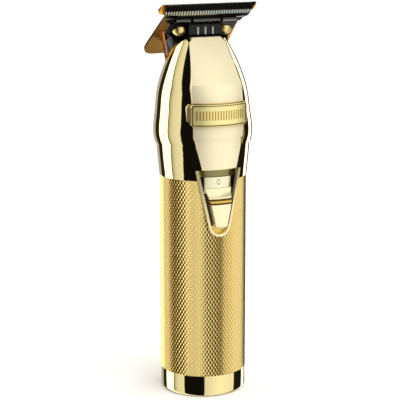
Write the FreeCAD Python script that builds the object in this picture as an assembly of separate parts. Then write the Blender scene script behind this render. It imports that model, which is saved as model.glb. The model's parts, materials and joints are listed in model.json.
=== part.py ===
"""Cordless T-blade hair trimmer, modelled as the separate pieces it comes apart into.

Units are millimetres. +Z is up along the grip, the front (switch and badge) faces -Y, and the
origin is the middle of the foot, at the mouth of the charging socket.
"""
import FreeCAD, Part
import math
import os

V = FreeCAD.Vector

# ---- grip and foot ----
barrel_r = 18.3            # outside of the knurled grip
barrel_wall = 1.6
grip_len = 84.2            # knurled length
base_h = 9.2               # height of the polished foot ring
base_inset = 0.3           # the foot ring is this much smaller than the grip
base_edge = 1.3            # rounding of the foot's lower edge
base_wall = 1.9
cap_t = 2.0
spigot_len = 5.0           # how far one tube enters the next
fit_gap = 0.05             # radial gap of a seated fit
seam_gap = 0.15            # gap round inset panels

# ---- polished upper housing ----
skirt_h = 13.8             # from the grip to the ring crease
skirt_rows = [(0.0, 0.1), (7.0, 0.75), (15.2, 1.45)]       # (height above the grip, growth over barrel_r)
crown_rows = [(0.0, 1.8), (3.5, 2.45), (13.5, 1.65), (20.5, 0.85), (27.5, -0.9), (34.0, -3.4), (41.0, -6.9),
              (46.0, -9.8)]                                 # the same, counted from the crease
crown_tilt = 2.9           # degrees that the crown leans back
housing_wall = 1.5

# ---- blade head: a leaning frame with its origin at the middle of the tooth tips ----
blade_lean = 53.0          # angle between the blade and the upright
tip_rise = 71.1            # tooth tips above the grip
tip_front = 8.27           # tooth tips in front of the axis
rim_drop = 7.7             # housing rim below the tooth tips, square to the blade
blade_half = 21.2          # fixed blade with its guards
blade_len = 38.0
blade_t = 1.2
blade_waist = 17.0         # half width behind the teeth
blade_heel = 18.6          # half width near the heel
heel_round = 4.5
cutter_half = 20.0
cutter_t = 2.0
cutter_bevel = 4.5         # length of the ground bevel on the teeth
cutter_shoulder = 16.5
cutter_stem = 7.5
tooth_pitch = 1.17
tooth_depth = 3.4
tooth_slot = 0.5
slide_gap = 0.05           # between the cutter and what it slides on
tooth_lap = 0.35           # the cutter's face above the tip plane
badge_rim = 0.8
badge_recess = 0.35
stroke = 1.0               # cutter travel each way, the throw of the eccentric
plate_half = 13.9
plate_t = 1.2
rail_half = 15.0
screw_x = 10.2
screw_a = 14.0             # screws behind the tooth tips
screw_shank_r = 1.5
screw_head_r = 2.9
screw_head_h = 2.2
block_half = 7.2           # ribbed block between the screws
block_front = 2.5          # front of the block, ahead of the axis
column_in = 5.7            # sides of the neck inside the grip's radius, at the rim
split_y = 7.5              # where the black carrier meets the gold neck
spring_t = 0.3

# ---- spine panel and badge ----
spine_t = 1.6
spine_foot_half = 7.6      # half width at the foot of the spine
spine_step_half = 10.85    # half width under the step
spine_half = 11.3
spine_top_half = 8.1
spine_foot_z = 5.0         # heights above the grip
spine_step_z = 17.5
spine_crease_z = 39.4
spine_top_z = 57.6
spine_low_out = 0.8        # the face stands this far outside the grip's radius, low and middle
spine_mid_out = 1.3
spine_crease_in = 0.9      # and this far inside it at the crease and at the top
spine_top_in = 14.1
badge_z = 27.4             # middle of the badge above the grip
badge_half_w = 12.5
badge_half_h = 4.7
badge_out = 2.7            # its curved face outside the grip's radius
badge_t = 1.0
badge_back_grow = 0.9      # the backing shows this much all round

# ---- switch ----
bezel_top_z = 4.3          # top of the bezel above the grip
bezel_drop = 23.6          # bottom of the bezel below the top of the grip
bezel_top_half = 10.0
bezel_round = 4.9
bezel_rim = 0.95
bezel_proud = 0.65
floor_down = 1.6           # floor of the switch below the grip's radius
floor_t = 1.3
switch_travel = 3.5
slider_gap = 0.2
slider_low = 20.3          # slider bottom below the top of the grip
slider_high = 3.4          # slider top below the top of the grip
slider_round = 2.75
slider_taper = 11.8        # degrees
tongue_out = 2.1           # face of the tongue and of the ridge outside the grip's radius
ridge_out = 1.0
lever_half = 1.0
lever_len = 2.5

# ---- charging socket and electrics ----
socket_r = 1.8
socket_wall = 1.7
socket_len = 10.0
socket_back = 2.0
led_r = 1.2
led_x = 7.5
cell_r = 9.1
cell_len = 50.0
cell_y = 2.0
cell_z = 24.0
board_half = 7.6
board_t = 1.2
board_in = 4.1             # front face of the board inside the tube's inner wall
board_z0 = 16.0
board_drop = 3.4           # top of the board below the top of the grip
chassis_gap = 0.4
chassis_wall = 1.5
chassis_split = -6.0       # where the front and rear halves meet
chassis_step = 1.3         # the rear half is this much smaller in radius
shelf_t = 1.4
# chips as (left, right, thickness, foot and top above the foot of the board)
chip_rows = [(-3.5, 3.5, 1.2, 12.0, 19.0), (3.4, 7.4, 1.0, 26.0, 29.0), (-7.5, -4.5, 1.5, 30.0, 33.0)]

# ---- motor and drive ----
motor_y = 2.0
motor_r = 11.0
motor_len = 30.0
motor_z = 9.6              # bottom of the motor above the grip
can_wall = 0.9
magnet_t = 1.4
air_gap = 0.6
shaft_r = 1.0
shaft_run = 0.03           # running clearance of the shaft
bush_r = 3.0
commutator_r = 2.6
cam_cap_t = 0.6
cam_r = 3.4
cam_h = 4.0
pin_r = 0.9
sleeve_r = 1.4
drive_h = 3.0              # length of the sleeve on the pin
mount_t = 2.0
mount_r = 12.5
mount_gap = 0.4            # between the motor and its mount and the neck's collar
post_h = 4.0               # posts between the motor mount and the neck
post_r = 1.9
collar_h = 3.5             # depth of the neck's collar inside the housing
drive_bore = 5.2

# ---- levels and radii worked out from the sizes above ----
grip_top = base_h + grip_len
barrel_in = barrel_r - barrel_wall
board_y = barrel_in - board_in          # front face of the board, ahead of the axis
floor_r = barrel_r - floor_down
slider_r = barrel_r + tongue_out
badge_r = barrel_r + badge_out
board_len = grip_top - board_drop - board_z0
drive_room_r = max(mount_r, motor_r) + mount_gap
ridge_r = barrel_r + ridge_out
spine_low_y = barrel_r + spine_low_out
spine_mid_y = barrel_r + spine_mid_out
spine_crease_y = barrel_r - spine_crease_in
spine_top_y = barrel_r - spine_top_in
tip_z = grip_top + tip_rise
lean = math.radians(blade_lean)
blade_low = slide_gap + tooth_lap            # underside of the fixed blade above the tip plane
plate_top = blade_low - slide_gap - cutter_t - spring_t - 2 * slide_gap
plate_low = plate_top - plate_t
motor_base = grip_top + motor_z
motor_top = motor_base + motor_len


def box(x0, x1, y0, y1, z0, z1):
    return Part.makeBox(x1 - x0, y1 - y0, z1 - z0, V(x0, y0, z0))


def rod(r, x, y, z0, z1):
    return Part.makeCylinder(r, z1 - z0, V(x, y, z0))


def tube(r_out, r_in, x, y, z0, z1):
    return rod(r_out, x, y, z0, z1).cut(rod(r_in, x, y, z0 - 1, z1 + 1))


def fuse(shapes):
    whole = shapes[0]
    for shape in shapes[1:]:
        whole = whole.fuse(shape)
    return whole.removeSplitter()


def cut(shape, tools):
    for tool in tools:
        shape = shape.cut(tool)
    return shape


def polygon(points):
    return Part.makePolygon(points + [points[0]])


def upright_prism(wire, y0, y1):
    """A wire drawn in the X-Z plane, pulled along Y from y0 to y1."""
    face = Part.Face(wire)
    face.translate(V(0, y0, 0))
    return face.extrude(V(0, y1 - y0, 0))


def flat_prism(points, z0, z1):
    """A polygon of (x, y) points, pulled along Z."""
    face = Part.Face(polygon([V(x, y, z0) for x, y in points]))
    return face.extrude(V(0, 0, z1 - z0))


def on_head(shape):
    """Place a shape drawn in the blade's own frame: x across, y back along it, z off its top."""
    place = FreeCAD.Placement(V(0, -tip_front, tip_z), FreeCAD.Rotation(V(1, 0, 0), blade_lean - 90))
    moved = shape.copy()
    moved.Placement = place.multiply(moved.Placement)
    return moved


def head_point(a, h):
    """Y and Z of a point a behind the tips and h above the blade's tip plane."""
    y = -tip_front + a * math.sin(lean) + h * math.cos(lean)
    return y, tip_z - a * math.cos(lean) + h * math.sin(lean)


def save(name, shape):
    os.makedirs("parts", exist_ok=True)
    shape.exportStep("parts/" + name + ".step")
    print(name, len(shape.Solids), round(shape.Volume, 1), shape.isValid())


# ------------------------------------------------------------------ housing surfaces
def turned(rows, less, z0, skip=0.0):
    """A solid turned about the axis through a smooth outline of (height, growth) rows."""
    points = [V(barrel_r + grow - less, 0, z0 + z) for z, grow in rows]
    side = Part.BSplineCurve()
    side.interpolate(points)
    top, low = points[-1], points[0]
    foot = V(low.x, 0, low.z - skip)
    axis_top = V(0, 0, top.z)
    axis_foot = V(0, 0, foot.z)
    edges = [side.toShape(), Part.makeLine(top, axis_top), Part.makeLine(axis_top, axis_foot),
             Part.makeLine(axis_foot, foot)]
    if skip:
        edges.append(Part.makeLine(foot, low))
    return Part.Face(Part.Wire(edges)).revolve(V(0, 0, 0), V(0, 0, 1), 360)


def crown(less, skip):
    solid = turned(crown_rows, less, grip_top + skirt_h, skip)
    return solid.rotated(V(0, 0, grip_top + skirt_h), V(1, 0, 0), -crown_tilt)


def below_rim(extra=0.0):
    """A big block under the slanted plane of the housing's rim, raised by extra."""
    block = Part.makeBox(120, 160, 120, V(-60, -60, -120 - rim_drop + extra))
    return on_head(block)


def housing_outer():
    return turned(skirt_rows, 0.0, grip_top).fuse(crown(0.0, 0.0))


def housing_inner(less=0.0):
    """The hollow of the housing, or the same made smaller all round."""
    drop = 1.5
    return turned(skirt_rows, housing_wall + less, grip_top, 1.0).fuse(crown(housing_wall + less + 0.1, drop))


def arc_slab(z, y_mid, half, y_edge, y_back):
    """A closed wire at height z: a curved front from edge to edge and a flat back."""
    left = V(-half, -y_edge, z)
    right = V(half, -y_edge, z)
    front = Part.Arc(left, V(0, -y_mid, z), right).toShape()
    sides = [Part.makeLine(right, V(half, y_back, z)), Part.makeLine(V(half, y_back, z), V(-half, y_back, z)),
             Part.makeLine(V(-half, y_back, z), left)]
    return Part.Wire([front] + sides)


def spine_solid(back=0.0, low=0.0):
    """Everything behind the spine's face, moved back by a distance; low lengthens it downwards."""
    foot = grip_top + spine_foot_z - low
    step = grip_top + spine_step_z
    crease = grip_top + spine_crease_z
    top = grip_top + spine_top_z + 3.0
    half = spine_half + 1.0

    def wire(z, y_mid, sagitta):
        return arc_slab(z, y_mid - back, half, y_mid - sagitta - back, 12.0)

    slope = (spine_crease_y - spine_top_y) / (spine_top_z - spine_crease_z)
    peak_y = spine_top_y - 3.0 * slope
    lower = Part.makeLoft([wire(foot, spine_low_y, 4.0), wire(step, spine_low_y, 4.0)], True, True)
    knee = [(step, spine_mid_y, 4.1), (step + 9.0, spine_mid_y + 0.15, 4.1),
            (step + 16.0, spine_mid_y - 0.6, 4.2), (crease, spine_crease_y, 3.6)]
    middle = Part.makeLoft([wire(z, y, s) for z, y, s in knee], True, False)
    upper = Part.makeLoft([wire(crease, spine_crease_y, 3.6), wire(top, peak_y, 0.8)], True, True)
    return lower.fuse(middle).fuse(upper)


def spine_outline(grow=0.0, drop=0.0):
    """Front view of the spine: a V foot, a step, a straight waist and a narrowing top."""
    foot = grip_top + spine_foot_z - drop
    step = grip_top + spine_step_z
    crease = grip_top + spine_crease_z
    top = grip_top + spine_top_z + grow
    foot_half = spine_foot_half - drop * (spine_step_half - spine_foot_half) / (spine_step_z - spine_foot_z)
    right = [V(foot_half + grow, 0, foot), V(spine_step_half + grow, 0, step - 0.3),
             V(spine_half + grow, 0, step + 0.6), V(spine_half + grow, 0, crease - 1.2),
             V(spine_half - 0.4 + grow, 0, crease + 0.6), V(spine_top_half + grow, 0, top - 1.8),
             V(spine_top_half - 1.9 + grow, 0, top)]
    left = [V(-p.x, 0, p.z) for p in reversed(right)]
    return polygon(right + left)


def make_spine():
    core = spine_solid()
    inside = spine_solid(back=spine_t, low=1.0)
    outline = upright_prism(spine_outline(), -barrel_r - 10, 4.0)
    return core.cut(inside).common(outline)


def spine_pocket():
    """Room in the housing for the spine: all that stands in front of its back face."""
    outline = upright_prism(spine_outline(seam_gap, 1.0), -barrel_r - 10, 6.0)
    return outline.cut(spine_solid(back=spine_t + 0.02, low=3.0))


# ------------------------------------------------------------------ switch outlines
def vee(top_half, top_z, low_z, radius):
    """A V with a round foot, open upwards: its wire in the X-Z plane."""
    rise = top_z - low_z
    taper = 0.0
    for _ in range(40):                       # side angle that joins the top corner to the round foot
        taper = math.atan((top_half - radius / math.cos(taper)) / (rise - radius))
    foot_z = low_z + radius
    touch = V(radius * math.cos(taper), 0, foot_z - radius * math.sin(taper))
    left_touch = V(-touch.x, 0, touch.z)
    edges = [Part.makeLine(V(-top_half, 0, top_z), left_touch),
             Part.Arc(left_touch, V(0, 0, low_z), touch).toShape(),
             Part.makeLine(touch, V(top_half, 0, top_z)),
             Part.makeLine(V(top_half, 0, top_z), V(-top_half, 0, top_z))]
    return Part.Wire(edges)


bezel_top = grip_top + bezel_top_z
bezel_low = grip_top - bezel_drop


def bezel_prism(inset=0.0, top_extra=0.0):
    rise = bezel_top - bezel_low
    widen = (bezel_top_half - bezel_round) / (rise - bezel_round)
    top_half = bezel_top_half - inset * 1.02 + top_extra * widen
    wire = vee(top_half, bezel_top + top_extra, bezel_low + inset, bezel_round - inset)
    return upright_prism(wire, -barrel_r - 10, -6.0)


def ring_cone(r_low, r_high, z0, z1):
    return Part.makeCone(r_low, r_high, z1 - z0, V(0, 0, z0))


def make_bezel():
    z0 = bezel_low - 1
    z1 = bezel_top
    outer = ring_cone(barrel_r + bezel_proud - 0.3, barrel_r + bezel_proud + 0.25, z0, z1)
    inner = rod(floor_r - floor_t, 0, 0, z0 - 1, z1 + 2)
    return bezel_prism().cut(bezel_prism(bezel_rim, 1.0)).common(outer).cut(inner)


def lever_slot(grow):
    z0 = lever_z0() - grow
    z1 = lever_z0() + lever_len + switch_travel + grow
    return box(-lever_half - grow, lever_half + grow, -barrel_r - 5, -4, z0, z1)


def lever_z0():
    return grip_top - slider_high - 9.0


def make_switch_floor():
    z0 = bezel_low - 1
    deep = rod(floor_r, 0, 0, z0, bezel_top + 0.5)
    deep = deep.cut(rod(floor_r - floor_t, 0, 0, z0 - 1, bezel_top + 2))
    strip_z = grip_top + 1.3
    upper = box(-15, 15, -barrel_r, 0, strip_z, bezel_top + 2)
    lowered = upper.cut(rod(floor_r - 0.6, 0, 0, strip_z - 1, bezel_top + 3))
    panel = bezel_prism(bezel_rim + fit_gap, 0.0)
    return deep.cut(lowered).common(panel).cut(lever_slot(0.4))


def make_slider():
    top = grip_top - slider_high
    low = grip_top - slider_low
    taper = math.tan(math.radians(slider_taper))
    top_half = slider_round / math.cos(math.radians(slider_taper)) + (top - low - slider_round) * taper
    plan = upright_prism(vee(top_half, top, low, slider_round), -barrel_r - 10, -6.0)
    under = floor_r + slider_gap
    # side profile as (radius, distance below the slider's top)
    profile = [(under, 0.0), (under + 0.35, 0.0), (under + 0.9, 1.6), (under + 1.7, 2.8), (ridge_r, 3.5),
               (ridge_r - 0.1, 4.2), (ridge_r - 0.9, 4.4), (ridge_r - 0.9, 4.8), (slider_r - 0.2, 4.9),
               (slider_r - 0.2, 5.7), (ridge_r - 0.6, 5.8), (ridge_r - 0.6, 6.2), (slider_r - 0.1, 6.4),
               (slider_r, 9.0), (slider_r, top - low - 1.3), (slider_r - 1.4, top - low), (under, top - low)]
    face = Part.Face(polygon([V(0, -r, top - d) for r, d in profile]))
    turned = face.revolve(V(0, 0, 0), V(0, 0, 1), 60)
    turned.rotate(V(0, 0, 0), V(0, 0, 1), -30)
    return plan.common(turned)


def make_lever():
    return box(-lever_half, lever_half, -floor_r - slider_gap - 0.1, -board_y - 1.0, lever_z0(),
               lever_z0() + lever_len).common(rod(floor_r + slider_gap, 0, 0, lever_z0() - 1,
                                                  lever_z0() + lever_len + 1))


def make_slide_switch():
    z0 = lever_z0() - 3.0
    z1 = lever_z0() + lever_len + switch_travel + 3.0
    body = box(-4.5, 4.5, -board_y - 2.0, -board_y, z0, z1)
    slot = box(-lever_half - 0.3, lever_half + 0.3, -board_y - 3.0, -board_y - 0.6, z0 + 2.5, z1 - 2.5)
    return body.cut(slot)


# ------------------------------------------------------------------ grip, foot and housing
def make_base_ring():
    r = barrel_r - base_inset
    body = rod(r, 0, 0, 0, base_h)
    low_edges = [e for e in body.Edges if e.BoundBox.ZMax < 0.01 and e.BoundBox.XLength > r]
    body = body.makeFillet(base_edge, low_edges)
    spigot = rod(barrel_in - fit_gap, 0, 0, base_h - 0.01, base_h + spigot_len)
    body = body.fuse(spigot)
    body = body.cut(rod(r - base_wall, 0, 0, cap_t, base_h + spigot_len + 1))
    return body.cut(rod(r - base_wall - 1.2, 0, 0, -1, cap_t + 1)).removeSplitter()


def base_screw_spots():
    r = barrel_r - base_inset - base_wall - 4.2
    spots = []
    for turn in (90, 210, 330):
        spots.append((r * math.cos(math.radians(turn)), r * math.sin(math.radians(turn))))
    return spots


def make_base_cap():
    r = barrel_r - base_inset - base_wall - 1.2 - fit_gap
    flange_r = barrel_r - base_inset - base_wall - fit_gap
    body = rod(r, 0, 0, 0, cap_t + 0.01).fuse(rod(flange_r, 0, 0, cap_t, cap_t + 1.2))
    holes = [rod(socket_r + socket_wall + fit_gap, 0, 0, -1, cap_t + 3), rod(led_r, led_x, 0, -1, cap_t + 3)]
    for x, y in base_screw_spots():
        holes.append(rod(1.1, x, y, -1, cap_t + 3))
        holes.append(rod(2.1, x, y, -1, 1.1))
    return cut(body, holes).removeSplitter()


def make_base_screws():
    solids = []
    for x, y in base_screw_spots():
        screw = rod(1.9, x, y, 0.2, 1.1).fuse(rod(1.0, x, y, 1.1, 10.0))
        slot = box(x - 1.2, x + 1.2, y - 0.25, y + 0.25, 0.1, 0.6)
        solids.append(screw.removeSplitter().cut(slot).cut(slot.copy().rotated(V(x, y, 0), V(0, 0, 1), 90)))
    return Part.makeCompound(solids)


def make_charging_socket():
    body = rod(socket_r + socket_wall, 0, 0, 0, socket_len + socket_back)
    body = body.cut(rod(socket_r, 0, 0, -1, socket_len))
    return body.cut(box(-0.6, 0.6, socket_r + 0.8, 9, 6.0, 13.0))


def make_socket_contacts():
    tail = box(-0.5, 0.5, socket_r + 0.9, socket_r + 1.3, 6.5, socket_len + socket_back + 2.0)
    button = rod(0.8, 0, 0, socket_len + socket_back, socket_len + socket_back + 2.0)
    return Part.makeCompound([tail, button])


def make_barrel():
    body = tube(barrel_r, barrel_in, 0, 0, base_h, grip_top)
    return body.cut(bezel_prism(-fit_gap))


def make_housing():
    shell = housing_outer().cut(housing_inner())
    spigot = tube(barrel_in - fit_gap, barrel_in - fit_gap - 1.2, 0, 0, grip_top - spigot_len, grip_top)
    lip = tube(barrel_r, barrel_in - fit_gap - 1.2, 0, 0, grip_top, grip_top + 1.0)
    body = shell.fuse(spigot).fuse(lip)
    body = body.common(below_rim()).common(box(-40, 40, -40, 40, 0, grip_top + spine_top_z - 0.6))
    window = bezel_prism(-fit_gap, 0.05)
    return cut(body, [spine_pocket(), window, badge_seat()]).removeSplitter()


# ------------------------------------------------------------------ badge
def rounded_slot(half_w, half_h, radius, z):
    """A rectangle with round corners in the X-Z plane, centred at height z."""
    rect = box(-half_w, half_w, -barrel_r - 9, -4, z - half_h, z + half_h)
    corners = [e for e in rect.Edges if e.BoundBox.YLength > 3]
    return rect.makeFillet(radius, corners)


def badge_seat():
    """Room for the badge where its ends lie over the housing."""
    z = grip_top + badge_z
    plan = rounded_slot(badge_half_w + fit_gap, badge_half_h + fit_gap, 2.0, z)
    return plan.cut(rod(badge_r - badge_t - fit_gap, 0, 0, z - 9, z + 9))


def make_badge_backing():
    z = grip_top + badge_z
    plan = rounded_slot(badge_half_w + badge_back_grow, badge_half_h + 0.3, 2.6, z)
    shell = rod(badge_r - badge_t, 0, 0, z - 8, z + 8)
    return plan.common(shell).cut(spine_solid()).cut(housing_outer())


def make_badge_plate():
    z = grip_top + badge_z
    plan = rounded_slot(badge_half_w, badge_half_h, 2.0, z)
    face = tube(badge_r, badge_r - badge_t, 0, 0, z - 8, z + 8)
    body = plan.common(face)
    rim_in = rounded_slot(badge_half_w - badge_rim, badge_half_h - badge_rim, 1.4, z)
    recess = tube(badge_r + 1, badge_r - badge_recess, 0, 0, z - 8, z + 8)
    return body.cut(rim_in.common(recess))


# ------------------------------------------------------------------ blade head
def tee(half, waist, heel, length, bar, start=0.0):
    """Outline of a T blade in its own frame, one side mirrored to the other."""
    right = [(half, start), (half, bar - 2.2), (half - 0.8, bar - 0.9), (waist + 1.2, bar + 0.1),
             (waist + 0.3, bar + 0.9), (waist, bar + 2.2), (heel, length - 8.0), (heel, length)]
    left = [(-x, y) for x, y in reversed(right)]
    return right + left


def tooth_slots(half, depth, z0, z1, start):
    count = int(half / tooth_pitch + 0.5)
    slots = []
    for i in range(-count, count):
        x = (i + 0.5) * tooth_pitch
        slots.append(box(x - tooth_slot / 2, x + tooth_slot / 2, start - 1, start + depth, z0, z1))
    return Part.makeCompound(slots)


def make_fixed_blade():
    body = flat_prism(tee(blade_half, blade_waist, blade_heel, blade_len, 7.0, -0.25), blade_low,
                      blade_low + blade_t)
    uprights = [e for e in body.Edges if e.BoundBox.ZLength > 0.9 * blade_t and e.BoundBox.XLength < 0.01
                and e.BoundBox.YLength < 0.01]
    heel = [e for e in uprights if e.BoundBox.YMin > blade_len - 1]
    guard = [e for e in uprights if e.BoundBox.YMax < 0.5]
    body = body.makeFillet(heel_round, heel).makeFillet(1.7, guard)
    wedge = Part.Face(polygon([V(-30, -1, blade_low + 0.4), V(-30, 6.5, blade_low + blade_t + 0.01),
                               V(-30, -1, blade_low + blade_t + 0.01)])).extrude(V(60, 0, 0))
    groove = box(-30, 30, 18.8, 19.3, blade_low - 1, blade_low + 0.2)
    slots = tooth_slots(blade_half - 2.6, tooth_depth, blade_low - 1, blade_low + blade_t + 1, -0.25)
    holes = [rod(screw_shank_r - 0.35, s * screw_x, screw_a, blade_low - 1, blade_low + blade_t + 1)
             for s in (-1, 1)]
    return on_head(cut(body, [wedge, slots, groove] + holes))


def make_cutter():
    top = blade_low - slide_gap
    low = top - cutter_t
    bar = [(cutter_half, 0.0), (cutter_half - 1.2, cutter_bevel), (cutter_half - 1.5, 6.4), (18.0, 7.2),
           (17.1, 7.8), (cutter_shoulder + 0.1, 8.8), (cutter_shoulder, 10.2), (cutter_stem, 10.2)]
    right = bar + [(cutter_stem, 17.0)]
    left = [(-x, y) for x, y in reversed(right)]
    body = flat_prism(right + left, low, top)
    tip = top - 0.3
    wedge = Part.Face(polygon([V(-30, -1, tip), V(-30, 0, tip), V(-30, cutter_bevel, low - 0.01),
                               V(-30, -1, low - 0.01)])).extrude(V(60, 0, 0))
    thin = box(-cutter_stem - 1, cutter_stem + 1, 10.21, 20, low - 1, low + 0.5)
    slots = tooth_slots(cutter_half - 1.3, tooth_depth + 0.5, low - 1, top + 1, 0.0)
    return on_head(cut(body, [wedge, thin, slots]))


def leg_inner():
    return sleeve_r + 2 * stroke + 0.1


def drive_foot():
    """Height of the underside of the cutter's yoke web above the motor axis."""
    h = blade_low - slide_gap - cutter_t + 0.5 - 1.2
    a = (motor_y + tip_front - h * math.cos(lean)) / math.sin(lean)
    return head_point(a, h)[1]


def pin_top():
    return drive_foot() - (stroke + sleeve_r + 0.3) / math.tan(lean) - 0.4


def make_yoke():
    top = blade_low - slide_gap - cutter_t + 0.5
    inner = leg_inner()
    outer = inner + 1.3
    web = on_head(box(-outer, outer, 11.0, 16.6, top - 1.2, top))
    y0 = motor_y - 1.6
    y1 = motor_y + 1.2
    legs = []
    ceiling = on_head(box(-30, 30, -30, 60, -60, top - 1.2 + 0.01))
    for side in (-1, 1):
        x0, x1 = sorted((side * inner, side * outer))
        legs.append(box(x0, x1, y0, y1, pin_top() - drive_h - 0.2, drive_foot() + 8).common(ceiling))
    return fuse([web] + legs)


def make_pads():
    """Two pads beside the cutter's stem, between the fixed blade and the screw plate."""
    pads = []
    inner = cutter_stem + stroke + 0.15
    for side in (-1, 1):
        x0, x1 = sorted((side * inner, side * rail_half))
        pads.append(box(x0, x1, 10.7, 18.6, plate_top, blade_low))
    holes = [rod(screw_shank_r + 0.1, s * screw_x, screw_a, plate_top - 1, blade_low + 1) for s in (-1, 1)]
    return Part.makeCompound([on_head(cut(pad, holes)) for pad in pads])


def drive_hollow():
    """The space the yoke and the pin move in."""
    half = leg_inner() + 1.3 + stroke + 0.15
    y0, y1 = motor_y - 3.5, motor_y + 4.6
    tall = box(-half, half, y0, y1, grip_top + 20, tip_z)
    ceiling = on_head(box(-30, 30, -30, 60, -80, blade_low))
    return tall.common(ceiling)


def column():
    """The neck between the housing's rim and the blade, as one outline that flares upwards."""
    def outline(h, front, front_half, side, mid, rear, rear_half):
        def point(x, a):
            return V(x, a, h)
        edges = [Part.makeLine(point(-front_half, front), point(front_half, front)),
                 Part.Arc(point(front_half, front), point(side * 0.93, mid * 0.45 + front * 0.55),
                          point(side, mid)).toShape(),
                 Part.Arc(point(side, mid), point(side * 0.9, mid * 0.4 + rear * 0.6),
                          point(rear_half, rear)).toShape(),
                 Part.makeLine(point(rear_half, rear), point(-rear_half, rear)),
                 Part.Arc(point(-rear_half, rear), point(-side * 0.9, mid * 0.4 + rear * 0.6),
                          point(-side, mid)).toShape(),
                 Part.Arc(point(-side, mid), point(-side * 0.93, mid * 0.45 + front * 0.55),
                          point(-front_half, front)).toShape()]
        return Part.Wire(edges)
    low = outline(-rim_drop, 13.0, 7.9, barrel_r - column_in, 24.0, 38.4, 4.0)
    high = outline(blade_low, 10.9, 12.4, 14.4, 19.0, 33.0, 9.0)
    return on_head(Part.makeLoft([low, high], True, True))


def carrier_zone():
    """Where the black carrier is: ahead of the split between it and the gold neck."""
    return box(-40, 40, -40, split_y, grip_top, tip_z + 10)


def spine_room():
    """What the spine and its pocket take out of the pieces behind them."""
    outline = upright_prism(spine_outline(seam_gap + 1.0, 1.0), -barrel_r - 10, 12.0)
    return outline.cut(spine_solid(back=spine_t + 0.3, low=3.0))


def neck_foot():
    return motor_top + mount_t + post_h


def make_neck():
    hollow = housing_inner(fit_gap).common(below_rim(0.01))
    hollow = hollow.common(box(-40, 40, -40, 40, 0, grip_top + spine_top_z - 0.6))
    z0 = neck_foot()
    middle = hollow.common(box(-40, 40, -40, 40, z0, tip_z))
    collar = hollow.cut(below_rim(-collar_h))
    collar = collar.cut(rod(drive_room_r, 0, motor_y, grip_top, z0))
    plug = middle.fuse(collar).cut(spine_room())
    body = plug.fuse(column().cut(carrier_zone()))
    bore = rod(drive_bore, 0, motor_y, z0 - 1, tip_z - 8).common(below_rim(3.0))
    screws = [rod(0.9, x, y, z0 - 1, z0 + 4.5) for x, y in post_spots()]
    rails = on_head(box(-rail_half - 0.05, rail_half + 0.05, 5, 18.65, plate_low - 0.02, blade_low + 1))
    body = cut(body, [drive_hollow(), bore, rails] + screws)
    return body.removeSplitter()


def make_neck_seal():
    """A gasket under the neck's collar, between it and the housing's wall."""
    ring = housing_inner(fit_gap).cut(housing_inner(1.2))
    ring = ring.common(below_rim(-collar_h - 0.02)).cut(below_rim(-collar_h - 1.2))
    ring = ring.cut(rod(drive_room_r, 0, motor_y, grip_top, neck_foot()))
    ring = ring.cut(box(-40, 40, -40, 40, neck_foot() - 0.02, tip_z))
    return ring.cut(spine_room())


def rib_rows():
    return (-3.3, 0.0, 3.3)


def make_carrier():
    under_plate = on_head(box(-40, 40, -40, 60, -rim_drop + 0.02, plate_low))
    zone = carrier_zone()
    sides = column().common(zone).common(under_plate)
    head_room = on_head(box(-40, 40, -40, screw_a + screw_head_r + 0.5, -40, plate_low + 1))
    sides = sides.cut(head_room)
    block = box(-block_half, block_half, -block_front, split_y, grip_top + 40, tip_z).common(under_plate)
    body = sides.fuse(block)
    ribs = []
    top = head_point((tip_front - block_front - plate_low * math.cos(lean)) / math.sin(lean), plate_low)[1]
    for x in rib_rows():
        ribs.append(box(x - 0.4, x + 0.4, -block_front - 0.4, -block_front + 0.1, top - 4.4, top - 0.9))
    return cut(fuse([body] + ribs), [drive_hollow(), spine_room()])


def make_screw_plate():
    body = box(-plate_half, plate_half, 6.9, 18.6, plate_low, plate_top)
    corners = [e for e in body.Edges if e.BoundBox.ZLength > 0.9 * plate_t and e.BoundBox.YMax < 8]
    body = body.makeFillet(0.9, corners)
    notches = [box(s * 6.6 - 0.6, s * 6.6 + 0.6, 6, 7.5, plate_low - 1, plate_top + 1) for s in (-1, 1)]
    window = leg_inner() + 1.3 + stroke + 0.15
    notches.append(box(-window, window, 10.3, 19, plate_low - 1, plate_top + 1))
    holes = [rod(screw_shank_r + 0.1, s * screw_x, screw_a, plate_low - 1, plate_top + 1) for s in (-1, 1)]
    return on_head(cut(body, notches + holes))


def make_spring():
    """Leaf that presses the cutter against the fixed blade; it stays with the screw plate."""
    top = plate_top
    leaf = box(-12.0, 12.0, 7.4, 9.8, top, top + spring_t)
    return on_head(leaf)


def make_blade_screws():
    solids = []
    for side in (-1, 1):
        x = side * screw_x
        shank = Part.makeCylinder(screw_shank_r, blade_low - plate_low, V(x, screw_a, plate_low))
        tip = Part.makeCylinder(screw_shank_r - 0.4, blade_t - 0.1, V(x, screw_a, blade_low - 0.01))
        dome_r = (screw_head_r ** 2 + screw_head_h ** 2) / (2 * screw_head_h)
        ball = Part.makeSphere(dome_r, V(x, screw_a, plate_low - screw_head_h + dome_r))
        rim = Part.makeCylinder(screw_head_r, screw_head_h, V(x, screw_a, plate_low - screw_head_h))
        head = ball.common(rim)
        solids.append(on_head(fuse([shank, tip, head])))
    return Part.makeCompound(solids)


# ------------------------------------------------------------------ motor and drive
def make_motor_can():
    body = rod(motor_r, 0, motor_y, motor_base + 3.0, motor_top)
    body = body.cut(rod(motor_r - can_wall, 0, motor_y, motor_base, motor_top - can_wall))
    nose = rod(bush_r + 1.0, 0, motor_y, motor_top, motor_top + 1.6)
    return body.fuse(nose).cut(rod(bush_r, 0, motor_y, motor_base, motor_top + 4)).removeSplitter()


def make_bush(z0, z1):
    """Sintered bush with a bore that clears the shaft."""
    return tube(bush_r, shaft_r + shaft_run, 0, motor_y, z0, z1)


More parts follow.
